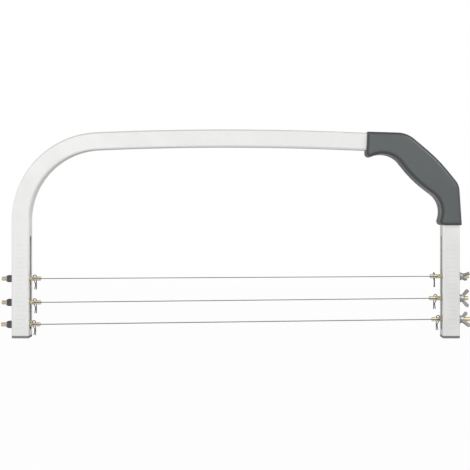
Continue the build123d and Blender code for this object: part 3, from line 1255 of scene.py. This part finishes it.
    def _screw(self, tip: float) -> Piece:
        """Makes a socket-head screw on the Y axis, with its head at the back.

        Args:
            tip: How far its tip stands in front of the tube's middle.

        Returns:
            The screw.
        """
        seat = self.depth / 2 - self.counterbore_depth
        top = seat + self.head_height
        head, shank, edge = self.head_diameter / 2, self.screw_diameter / 2, self.head_edge
        screw = lathed("grip_screw", [
            (-tip, 0.0), (-tip, shank - edge / 2), (edge / 2 - tip, shank), (seat, shank),
            (seat, head - edge / 4), (seat + edge / 4, head), (top - edge, head),
            (top - edge * BULGE, head - edge * BULGE), (top, head - edge), (top, 0.0)])
        socket = rod(self.socket_width / HEX_SHARE, 2 * self.socket_depth, (top, 0, 0),
                     sides=HEX_SIDES)
        combine(screw, socket)
        return placed(screw, turn=90.0)


@dataclass
class Pin:
    """A threaded pin with a collar, a neck with a cross hole, and a fork for the blade."""

    diameter: float = 5.0
    root_diameter: float = 4.15
    pitch: float = 0.8
    length: float = 45.0
    collar: float = 3.7
    collar_edge: float = 0.2
    neck: float = 3.0
    neck_diameter: float = 4.4
    neck_edge: float = 0.25
    hole: float = 1.2
    hole_sides: int = 16
    fork_width: float = 1.0
    fork_depth: float = 9.4
    edge: float = 0.4
    room: float = 1.0
    sides: int = 24

    @property
    def hole_run(self) -> float:
        """Gives the distance of the cross hole from the pin's outer tip."""
        return self.length - self.collar - self.neck / 2

    def pattern(self) -> Piece:
        """Makes the right-hand pin along X, with its outer tip at the origin.

        Returns:
            The pin.
        """
        pin = self._thread()
        inner = -self.length
        half, neck = self.diameter / 2, self.neck_diameter / 2
        shoulder = inner + self.collar
        start = shoulder + self.neck
        collar = lathed("pin_collar", [
            (inner, 0.0), (inner, half - self.edge), (inner + self.edge, half),
            (shoulder - self.collar_edge, half), (shoulder, half - self.collar_edge),
            (shoulder, neck), (start - self.neck_edge, neck), (start, neck - self.neck_edge),
            (start + self.pitch, self.root_diameter / 2), (start + self.pitch, 0.0)], self.sides)
        combine(pin, collar, Joining.ADD)
        slit = self.fork_depth + self.diameter
        combine(pin, block((slit, 2 * self.diameter, self.fork_width),
                           (inner - self.diameter + slit / 2, 0, 0)))
        combine(pin, rod(self.hole, 2 * self.diameter, (-self.hole_run, 0, 0), axis="Z",
                         sides=self.hole_sides))
        return pin

    def _thread(self) -> Piece:
        """Makes the threaded length with flat ends and a chamfered tip.

        Returns:
            The thread, as a closed solid.
        """
        start = self.collar + self.neck - self.length
        turns = math.ceil(-start / self.pitch) + 2
        crest, root = self.diameter / 2, self.root_diameter / 2
        flat = self.pitch / 8
        first = start - self.pitch
        thread = traced("pin_thread", [
            (first, 0, root), (first + flat, 0, root), (first + self.pitch / 2, 0, crest),
            (first + self.pitch / 2 + flat, 0, crest), (first + self.pitch, 0, root)])
        modify(thread, "SCREW", axis="X", screw_offset=self.pitch, iterations=turns,
               steps=self.sides, render_steps=self.sides, use_merge_vertices=True,
               merge_threshold=WELD)
        with editing(thread):
            bpy.ops.mesh.remove_doubles(threshold=WELD)
            for place, outwards in ((start, -1.0), (0.0, 1.0)):
                bpy.ops.mesh.select_all(action="SELECT")
                bpy.ops.mesh.bisect(plane_co=(place, 0, 0), plane_no=(outwards, 0, 0),
                                    use_fill=True, clear_outer=True, threshold=WELD)
        room = self.room
        envelope = lathed("tip_envelope", [
            (start - room, 0.0), (start - room, crest + room), (-room - self.edge, crest + room),
            (0.0, crest - self.edge), (0.0, 0.0)], self.sides)
        combine(tidied(thread), envelope, Joining.COMMON)
        return thread


@dataclass
class Blade:
    """A thin serrated strip between two pins."""

    width: float = 4.6
    thickness: float = 0.7
    end: float = 3.6
    tooth_pitch: float = 3.0
    tooth_depth: float = 1.0
    plain_end: float = 9.0
    hole: float = 1.2
    hole_sides: int = 20
    corner: float = 0.8

    def build(self, name: str, left: Vector, right: Vector) -> Piece:
        """Makes the strip from one cross hole to the other.

        Args:
            name: The new piece's name.
            left: The middle of the left pin's cross hole.
            right: The middle of the right pin's cross hole.

        Returns:
            The blade.
        """
        span = (right - left).length
        teeth = int((span - 2 * self.plain_end) / self.tooth_pitch)
        toothed = teeth * self.tooth_pitch
        root = self.tooth_depth - self.width / 2
        back = self.width / 2
        strip = started(
            bpy.ops.mesh.primitive_grid_add, name, (toothed, back - root, 1.0),
            (0.0, (back + root) / 2, -self.thickness / 2),
            x_subdivisions=2 * teeth, y_subdivisions=1, size=1.0)

        def is_point(corner: bmesh.types.BMVert) -> bool:
            """Tells whether a corner of the front row becomes the point of a tooth."""
            count = round((corner.co.x + toothed / 2) / (self.tooth_pitch / 2))
            return corner.co.y < root + NEAR and count % 2 == 1

        run = (span - toothed) / 2 + self.end
        with editing(strip):
            pick(Element.CORNER, is_point)
            bpy.ops.transform.translate(value=(0.0, -self.tooth_depth, 0.0))
            for side in (-1, 1):
                pick(Element.EDGE, lambda edge: lies_at(edge, 0, side * toothed / 2))
                extruded((side * run, 0.0, 0.0))
            pick(Element.CORNER, lambda corner: abs(corner.co.x) > toothed / 2 + run - NEAR)
            bpy.ops.mesh.bevel(offset=self.corner, segments=4, affect="VERTICES")
            bpy.ops.mesh.select_all(action="SELECT")
            extruded((0.0, 0.0, self.thickness))
        tidied(strip)
        for side in (-1, 1):
            combine(strip, rod(self.hole, 4 * self.thickness, (side * span / 2, 0, 0), axis="Z",
                               sides=self.hole_sides))
        slant = math.degrees(math.atan2(right.z - left.z, right.x - left.x))
        return placed(strip, (left + right) / 2, -slant, "Y")


@dataclass
class Clip:
    """A spring clip of bent wire: a straight leg through the pin and a bowed one behind it."""

    wire: float = 1.0
    reach: float = 6.0
    crown: float = 3.9
    shoulder: float = -1.0
    pinch: float = -6.3
    tail: float = -12.7
    flare: float = 3.2
    gap: float = 0.3
    crown_radius: float = 1.7
    pinch_radius: float = 2.5
    bend_step: float = 11.0
    tip_share: float = 0.3
    sides: int = 12

    def pattern(self) -> Piece:
        """Makes the clip in the plane of the bow, with its straight leg on the Z axis.

        Returns:
            The clip.
        """
        path = [Vector((across, 0, up)) for across, up in (
            (0, self.tail), (0, self.crown), (self.reach, self.crown), (self.reach, self.shoulder),
            (self.wire + self.gap, self.pinch), (self.flare, self.tail))]
        radii = [self.crown_radius] * 2 + [self.pinch_radius] * 2
        wire = started(bpy.ops.mesh.primitive_circle_add, "clip_wire", middle=path[0],
                       vertices=self.sides, radius=self.wire / 2, fill_type="NGON")
        with editing(wire):
            drawn_along(path, radii, self.bend_step)

        def on_tip(edge: bmesh.types.BMEdge) -> bool:
            """Tells whether an edge runs round one of the wire's two cut ends."""
            return any(len(face.verts) == self.sides for face in edge.link_faces)

        bevelled(tidied(wire), self.wire * self.tip_share, segments=3, wanted=on_tip)
        return wire


@dataclass
class Washer:
    """A stamped flat washer, rolled on the side that the punch entered."""

    thickness: float = 1.0
    bore: float = 5.1
    roll: float = 0.3
    burr: float = 0.1
    sides: int = 40

    def pattern(self, diameter: float) -> Piece:
        """Makes a washer along X from the origin.

        Args:
            diameter: Its outer diameter.

        Returns:
            The washer.
        """
        inner, outer, thick = self.bore / 2, diameter / 2, self.thickness
        roll, burr, bulge = self.roll, self.burr, self.roll * BULGE
        return lathed("flat_washer", [
            (0.0, inner + burr), (0.0, outer - burr), (burr, outer), (thick - roll, outer),
            (thick - bulge, outer - bulge), (thick, outer - roll), (thick, inner + roll),
            (thick - bulge, inner + bulge), (thick - roll, inner), (burr, inner),
            (0.0, inner + burr)], self.sides)


@dataclass
class LockNut:
    """A hexagonal nut with a thin collar that is rolled over a plastic ring."""

    across_flats: float = 8.0
    height: float = 5.0
    chamfer: float = 0.5
    chamfer_run: float = 0.3
    facing_room: float = 0.1
    bore: float = 5.1
    collar_diameter: float = 7.6
    collar_wall: float = 0.4
    collar_height: float = 0.7
    ring_height: float = 2.6
    ring_seat: float = 0.6
    ring_clearance: float = 0.03
    ring_edge: float = 0.6
    ring_bore_edge: float = 0.1
    ring_dome: tuple[tuple[float, float], ...] = ((1.0, 0.0), (0.6, 0.1), (0.25, 0.35), (0.05, 0.7))

    def nut(self) -> Piece:
        """Makes the nut along X from the origin, its collar outwards.

        Returns:
            The nut.
        """
        across, high = self.across_flats / HEX_SHARE, self.height
        nut = rod(across, high, (high / 2, 0, 0), sides=HEX_SIDES)
        outer, run, room = across / 2, self.chamfer_run, self.facing_room
        facing = lathed("nut_facing", [
            (0.0, 0.0), (0.0, outer - self.chamfer), (run, outer + room),
            (high - run, outer + room), (high, outer - self.chamfer), (high, 0.0)], FINE_SIDES)
        combine(nut, facing, Joining.COMMON)
        top = high + self.collar_height
        wide = self.collar_diameter / 2
        inside = wide - self.collar_wall
        lip = self.collar_wall / 2
        seat = high - self.ring_seat
        collar = lathed("nut_collar", [
            (seat, inside), (seat, wide), (top - lip, wide),
            (top - lip * BULGE, wide - lip * BULGE), (top, wide - lip),
            (top - lip * BULGE, inside), (seat, inside)], FINE_SIDES)
        combine(nut, rod(2 * inside, 4 * self.ring_seat, (seat + 2 * self.ring_seat, 0, 0),
                         sides=FINE_SIDES))
        combine(nut, collar, Joining.ADD)
        combine(nut, rod(self.bore, 3 * high, (high / 2, 0, 0)))
        return nut

    def ring(self) -> Piece:
        """Makes the domed plastic ring in its place in the nut.

        Returns:
            The ring.
        """
        seat = self.height - self.ring_seat
        top = seat + self.ring_height
        wide = self.collar_diameter / 2 - self.collar_wall - self.ring_clearance
        inner, edge = self.bore / 2, self.ring_bore_edge
        dome = [(top - self.ring_edge * down, wide - self.ring_edge * inwards)
                for down, inwards in self.ring_dome]
        return lathed("nut_ring", [(seat, inner), (seat, wide), *dome, (top, inner + edge),
                                   (top - edge, inner), (seat, inner)], FINE_SIDES)


@dataclass
class WingNut:
    """A cast wing nut: a tapered hub with two straight wings in a wide V."""

    span: float = 20.6
    height: float = 10.9
    root_width: float = 2.8
    tip_width: float = 4.2
    thickness: float = 2.4
    root_height: float = 2.4
    base_diameter: float = 9.6
    base_edge: float = 0.2
    base_height: float = 0.9
    waist_height: float = 1.5
    waist_cut: float = 0.5
    top_diameter: float = 7.4
    top_edge: float = 0.5
    hub_height: float = 4.5
    bore: float = 5.1
    cell: float = 0.2
    smoothings: int = 4

    def pattern(self) -> Piece:
        """Makes the wing nut along X from the origin, its wings along Y.

        Returns:
            The wing nut.
        """
        base, top, high = self.base_diameter / 2, self.top_diameter / 2, self.hub_height
        hub = lathed("wing_nut", [
            (0.0, 0.0), (0.0, base - self.base_edge), (self.base_edge, base),
            (self.base_height, base), (self.waist_height, base - self.waist_cut),
            (high - self.top_edge, top), (high, top - self.top_edge), (high, 0.0)], FINE_SIDES)
        for side in (-1, 1):
            combine(hub, self._wing(side), Joining.ADD)
        softened(tidied(hub), self.cell, self.smoothings)
        combine(hub, rod(self.bore, 6 * high, (high / 2, 0, 0)))
        return hub

    def _wing(self, side: int) -> Piece:
        """Makes one wing as the hull of two short rods.

        Args:
            side: 1 for the wing along Y, -1 for the one against it.

        Returns:
            The wing.
        """
        tip, root = self.tip_width / 2, self.root_width / 2
        wing = rod(self.tip_width, self.thickness,
                   (self.height - tip, side * (self.span / 2 - tip), 0), axis="Z")
        other = rod(self.root_width, self.thickness, (self.root_height, side * root, 0), axis="Z")
        only(wing)
        other.select_set(True)
        bpy.ops.object.join()
        with editing(wing):
            bpy.ops.mesh.convex_hull(delete_unused=True, join_triangles=True)
        return tidied(wing)


@dataclass
class BladeSets:
    """The three blades with the pins, clips, washers and nuts that hold them in the legs."""

    line: BowLine
    pin: Pin = field(default_factory=Pin)
    blade: Blade = field(default_factory=Blade)
    clip: Clip = field(default_factory=Clip)
    washer: Washer = field(default_factory=Washer)
    lock_nut: LockNut = field(default_factory=LockNut)
    wing_nut: WingNut = field(default_factory=WingNut)
    left_heights: tuple[float, ...] = (15.2, 40.7, 68.3)
    right_heights: tuple[float, ...] = (21.1, 45.5, 71.0)
    left_overhangs: tuple[float, ...] = (14.0, 13.1, 13.1)
    right_overhangs: tuple[float, ...] = (14.0, 11.0, 12.0)
    left_clip_turns: tuple[float, ...] = (52.0, 52.0, 52.0)
    right_clip_turns: tuple[float, ...] = (52.0, 52.0, 0.0)
    wing_turns: tuple[float, ...] = (45.0, 90.0, -28.0)
    left_washer: float = 9.0
    right_washer: float = 10.0
    seat: float = 0.1

    def build(self, shop: Workshop) -> None:
        """Makes one of each repeated piece and sets its copies in their places.

        Args:
            shop: The workshop that finishes them.
        """
        patterns = {
            "pin": self.pin.pattern(),
            "clip": self.clip.pattern(),
            "left_washer": self.washer.pattern(self.left_washer),
            "right_washer": self.washer.pattern(self.right_washer),
            "lock_nut": self.lock_nut.nut(),
            "lock_ring": self.lock_nut.ring(),
            "wing_nut": self.wing_nut.pattern(),
        }
        near = self.line.leg_outer + self.seat
        beyond = near + self.washer.thickness
        for index, level in enumerate(LEVELS):
            held = f"{level}_blade_set"
            left_z, right_z = self.left_heights[index], self.right_heights[index]
            left_tip = self.line.leg_outer + self.left_overhangs[index]
            right_tip = self.line.leg_outer + self.right_overhangs[index]
            left_hole = Vector((self.pin.hole_run - left_tip, 0, left_z))
            right_hole = Vector((right_tip - self.pin.hole_run, 0, right_z))
            left_turn = 90.0 + self.left_clip_turns[index]
            right_turn = 90.0 - self.right_clip_turns[index]
            blade = self.blade.build(f"{level}_serrated_blade", left_hole, right_hole)
            shop.finish(blade, held, "blade_steel", [f"{level}_blade"])
            for kind, node, body, slot, place, turn in (
                ("pin", "left_pin", held, "pin_brass", (-left_tip, 0, left_z), 180.0),
                ("pin", "right_pin", held, "pin_brass", (right_tip, 0, right_z), 0.0),
                ("clip", "left_clip", None, "clip_wire", left_hole, left_turn),
                ("clip", "right_clip", None, "clip_wire", right_hole, right_turn),
                ("left_washer", "left_washer", held, "washer_zinc", (-near, 0, left_z), 180.0),
                ("right_washer", "right_washer", None, "washer_zinc", (near, 0, right_z), 0.0),
                ("lock_nut", "lock_nut", held, "nut_steel", (-beyond, 0, left_z), 180.0),
                ("lock_ring", "lock_ring", held, "ring_nylon", (-beyond, 0, left_z), 180.0),
                ("wing_nut", "wing_nut", None, "wing_zinc", (beyond, 0, right_z),
                 self.wing_turns[index]),
            ):
                solid = f"{level}_{node}"
                twin = copied(patterns[kind], f"{solid}_made")
                placed(twin, place, turn, "X" if kind == "wing_nut" else "Z")
                shop.finish(twin, body or solid, slot, [solid])
        for pattern in patterns.values():
            bpy.data.objects.remove(pattern)


@dataclass(frozen=True)
class SoftBox:
    """A square lamp that faces the tool."""

    name: str
    place: Point
    power: float
    size: float
    mirrored: bool = False

    def hang(self, target: Point) -> None:
        """Makes the lamp. One that is mirrored lights nothing else, and the others aren't mirrored.

        Args:
            target: The point that it faces.
        """
        lamp = bpy.data.lights.new(self.name, "AREA")
        lamp.energy = self.power
        lamp.size = self.size
        holder = bpy.data.objects.new(self.name, lamp)
        holder.visible_glossy = self.mirrored
        holder.visible_diffuse = not self.mirrored
        bpy.context.scene.collection.objects.link(holder)
        turn = (Vector(target) - Vector(self.place)).to_track_quat("-Z", "Y").to_matrix()
        holder.matrix_world = Matrix.Translation(self.place) @ turn.to_4x4()


@dataclass
class Studio:
    """The white table, the soft lights and the camera, in metres."""

    floor_reach: float = 12.0
    floor_sides: int = 96
    table_tone: float = 0.6
    table_glow: float = 0.97
    shadow_start: float = 0.5
    shadow_reach: float = 1.5
    soft_light: float = 0.18
    horizon_top: float = 0.2
    ceiling_start: float = 0.6
    ceiling_tone: float = 0.66
    cross_bias: float = 0.22
    table_gloss_tone: float = 0.79
    lamps: tuple[SoftBox, ...] = (
        SoftBox("front_light", (-0.4, -1.4, 0.05), 26.0, 1.1),
        SoftBox("back_light", (0.4, 1.4, 0.8), 9.0, 1.1),
        SoftBox("rim_light", (1.3, -0.9, 1.1), 16.0, 0.4, mirrored=True),
    )
    lamp_target: Point = (0.0, 0.0, 0.12)
    scale_at_face: float = 1.15 * MM
    image_width: int = 470
    left_pixel: float = 235.77
    floor_pixel: float = 338.5
    foot_pixel_x: float = 255.0
    foot_pixel_y: float = 218.0
    camera_distance: float = 0.842
    face_y: float = -7.5 * MM

    def build(self) -> None:
        """Makes the table, the world, the lights and the camera."""
        bpy.context.scene.view_settings.view_transform = "Standard"
        self._table()
        self._world()
        for lamp in self.lamps:
            lamp.hang(self.lamp_target)
        self._camera()

    def _rays(self, graph: Graph) -> tuple[Socket, Socket]:
        """Tells apart the rays that the background is shown to.

        Args:
            graph: The graph that the nodes go into.

        Returns:
            The output sockets for rays seen straight or through glass, and for mirrored ones.
        """
        path = graph.node("ShaderNodeLightPath").outputs
        seen = graph.maths("MAXIMUM", path["Is Camera Ray"], path["Is Transmission Ray"])
        return seen, path["Is Glossy Ray"]

    def _cross(self, graph: Graph, way: Socket) -> Socket:
        """Makes the room a little brighter at the front left and dimmer at the back left.

        Args:
            graph: The graph that the nodes go into.
            way: The output socket of a direction of length 1.

        Returns:
            The output socket of what is added to a plain 1.
        """
        parts = graph.node("ShaderNodeSeparateXYZ", {0: way}).outputs
        cross = graph.maths("MULTIPLY", parts["X"], parts["Y"])
        return graph.maths("MULTIPLY", cross, self.cross_bias)

    def _table(self) -> None:
        """Makes the pale table, which shows white and keeps a soft shadow."""
        table = started(bpy.ops.mesh.primitive_circle_add, "table", vertices=self.floor_sides,
                        radius=self.floor_reach, fill_type="NGON")
        made = bpy.data.materials.new("Table white")
        made.cycles.emission_sampling = "NONE"
        graph = Graph.cleared(made)
        seen, glossy = self._rays(graph)
        tone = graph.blend(seen, (self.table_tone,) * 3, (1.0, 1.0, 1.0))
        matt = graph.node("ShaderNodeBsdfDiffuse", {"Color": tone})
        place = graph.node("ShaderNodeTexCoord").outputs["Object"]
        outwards = self._cross(graph, graph.vector("NORMALIZE", place))
        mirrored = graph.maths("MULTIPLY_ADD", outwards, self.table_gloss_tone,
                               self.table_gloss_tone - 1.0)
        strength = graph.maths("MULTIPLY_ADD", glossy, mirrored, 1.0)
        white = graph.node("ShaderNodeEmission",
                           {"Color": (1.0, 1.0, 1.0, 1.0), "Strength": strength})
        distance = graph.vector("LENGTH", place, output="Value")
        glow = graph.ramp(distance, self.shadow_start, self.shadow_reach, self.table_glow)
        share = graph.maths("MULTIPLY", graph.maths("MAXIMUM", seen, glossy), glow)
        mixed = graph.node("ShaderNodeMixShader",
                           {0: share, 1: matt.outputs[0], 2: white.outputs[0]})
        graph.node("ShaderNodeOutputMaterial", {"Surface": mixed.outputs[0]})
        table.data.materials.append(made)

    def _world(self) -> None:
        """Makes a room that is white round the horizon and dimmer overhead, with a soft light."""
        world = bpy.data.worlds.new("Soft room")
        world.cycles.sampling_method = "NONE"
        bpy.context.scene.world = world
        graph = Graph.cleared(world)
        seen, glossy = self._rays(graph)
        way = graph.node("ShaderNodeTexCoord").outputs["Generated"]
        height = graph.node("ShaderNodeSeparateXYZ", {0: way}).outputs["Z"]
        overhead = graph.ramp(height, self.horizon_top, self.ceiling_start, 1.0, self.ceiling_tone)
        room = graph.maths("MULTIPLY", overhead,
                           graph.maths("ADD", self._cross(graph, way), 1.0))
        plain = graph.maths("MULTIPLY_ADD", seen, 1.0 - self.soft_light, self.soft_light)
        extra = graph.maths("SUBTRACT", room, self.soft_light)
        strength = graph.maths("MULTIPLY_ADD", glossy, extra, plain)
        sky = graph.node("ShaderNodeBackground",
                         {"Color": (1.0, 1.0, 1.0, 1.0), "Strength": strength})
        graph.node("ShaderNodeOutputWorld", {"Surface": sky.outputs[0]})

    def _camera(self) -> None:
        """Puts the camera where the photograph was taken from."""
        lens = bpy.data.cameras.new("camera")
        width = self.image_width * self.scale_at_face
        middle = self.image_width / 2.0
        lens.sensor_fit = "HORIZONTAL"
        lens.angle = 2.0 * math.atan(width / 2.0 / self.camera_distance)
        lens.shift_x = (middle - self.foot_pixel_x) / self.image_width
        lens.shift_y = -(middle - self.foot_pixel_y) / self.image_width
        holder = bpy.data.objects.new("camera", lens)
        bpy.context.scene.collection.objects.link(holder)
        place = (
            (self.foot_pixel_x - self.left_pixel) * self.scale_at_face,
            self.face_y - self.camera_distance,
            (self.floor_pixel - self.foot_pixel_y) * self.scale_at_face,
        )
        upright = Matrix.Rotation(math.radians(90.0), 4, "X")
        holder.matrix_world = Matrix.Translation(place) @ upright
        bpy.context.scene.camera = holder


def main() -> None:
    """Builds the studio and the tool, and reports each piece."""
    logging.basicConfig(level=logging.INFO, format="%(name)s: %(message)s")
    Studio().build()
    paints = Paintbox()
    paints.dress_nodes()
    shop = Workshop(paints)
    line = BowLine()
    for part in (Bow(line), Grip(line), BladeSets(line)):
        part.build(shop)
        log.info("finished %s", type(part).__name__)


if __name__ == "__main__":
    main()
